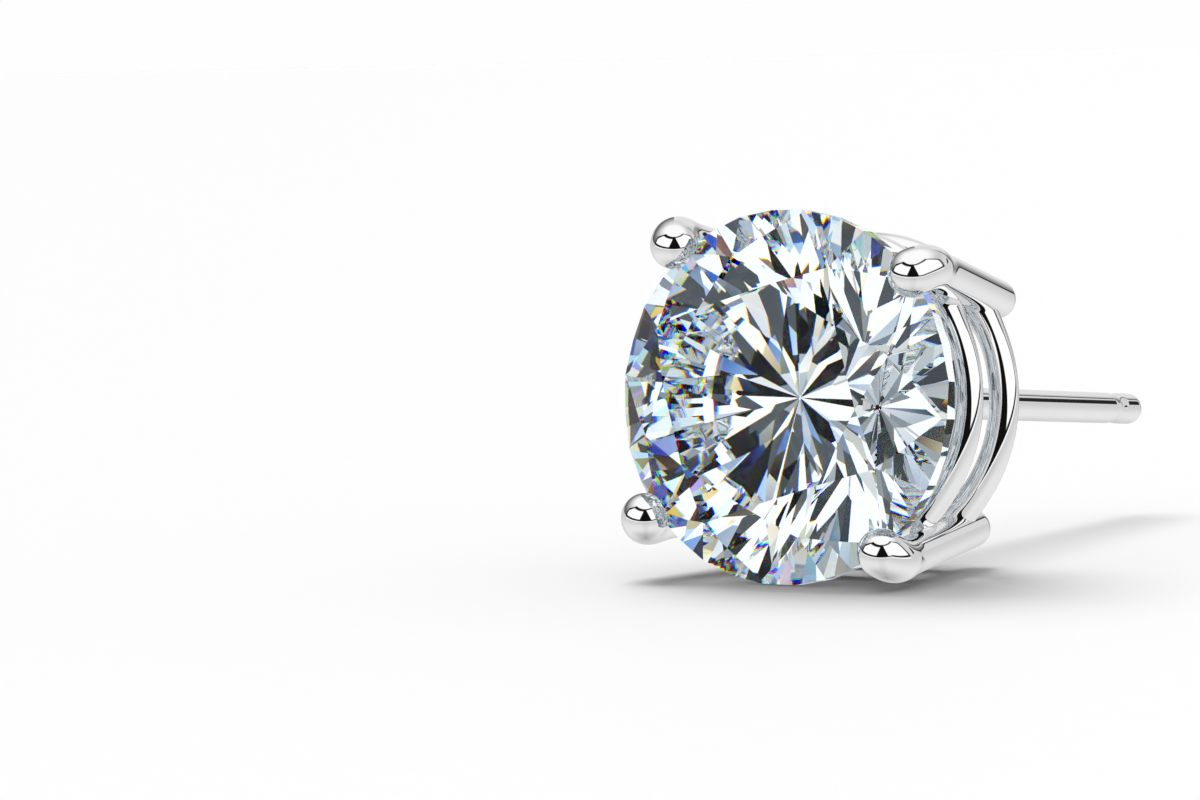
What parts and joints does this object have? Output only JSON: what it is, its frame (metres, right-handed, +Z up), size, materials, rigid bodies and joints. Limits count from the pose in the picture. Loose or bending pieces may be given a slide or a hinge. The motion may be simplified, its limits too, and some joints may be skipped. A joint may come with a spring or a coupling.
{
  "type": "stud earring",
  "caption": "Stud earring: a clear round brilliant-cut stone in a claw basket of white metal, with a straight grooved post for a pierced ear.",
  "frame": {"origin": "middle of the object's box on the surface it lies on", "axes": "+Z up from the surface, -Y the way the stone faces, +Y the way the post points, +X to the right of a viewer in front of the stone"},
  "size_m": [0.0074, 0.0164, 0.0074],
  "materials": {
    "clear_stone": "polished, faceted, colourless",
    "white_metal": "mirror-polished white precious metal"
  },
  "bodies": {
    "root": {"round_brilliant_stone": "clear_stone", "claw_setting_with_post": "white_metal"}
  },
  "joints": []
}
